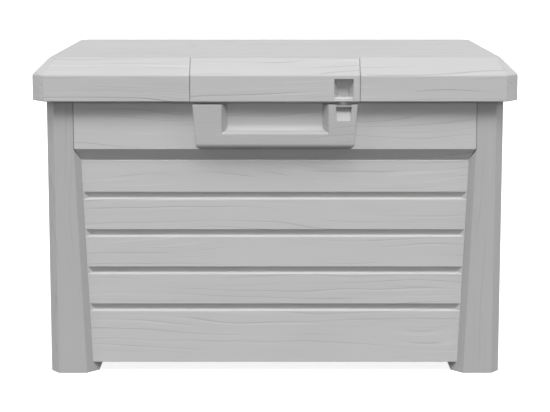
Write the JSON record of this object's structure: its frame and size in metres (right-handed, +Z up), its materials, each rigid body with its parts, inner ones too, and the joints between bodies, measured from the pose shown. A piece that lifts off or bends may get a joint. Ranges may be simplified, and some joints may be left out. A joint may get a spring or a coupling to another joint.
{
  "type": "cushion box",
  "caption": "Light grey resin storage box for cushions: shiplap plank walls, tapered corner posts, rear-hinged bevelled lid, front grip with padlock eyes.",
  "frame": {"origin": "on the ground under the middle of the box's plan", "axes": "+X to the right seen from the front, -Y out of the front with the grip, +Z up"},
  "size_m": [0.73, 0.505, 0.485],
  "materials": {
    "wall_resin": "satin light grey polypropylene with shallow moulded wood grain",
    "post_resin": "satin grey polypropylene with faint upright grain",
    "lid_resin": "satin light grey polypropylene with shallow moulded wood grain",
    "grip_resin": "satin grey polypropylene with shallow moulded wood grain",
    "hinge_resin": "plain moulded grey nylon",
    "steel": "zinc-plated steel"
  },
  "bodies": {
    "box": {"floor_panel": "wall_resin", "front_panel": "wall_resin", "rear_panel": "wall_resin", "left_side_panel": "wall_resin", "right_side_panel": "wall_resin", "front_left_post": "post_resin", "front_right_post": "post_resin", "rear_right_post": "post_resin", "rear_left_post": "post_resin", "grip_frame": "grip_resin", "box_lock_eye": "grip_resin", "grip_screws": "steel", "left_hinge_bracket": "hinge_resin", "right_hinge_bracket": "hinge_resin", "left_hinge_pin": "steel", "right_hinge_pin": "steel", "bracket_screws": "steel"},
    "lid": {"lid_shell": "lid_resin", "lid_front_insert": "lid_resin", "lid_lock_pocket": "lid_resin", "insert_screws": "steel", "left_hinge_leaf": "hinge_resin", "right_hinge_leaf": "hinge_resin", "leaf_screws": "steel"}
  },
  "joints": [
    {"name": "lid_hinge", "type": "hinge", "parent": "box", "child": "lid", "pos_m": [0, 0.242, 0.4115], "axis": [-1, 0, 0], "range_deg": [0, 100]}
  ]
}
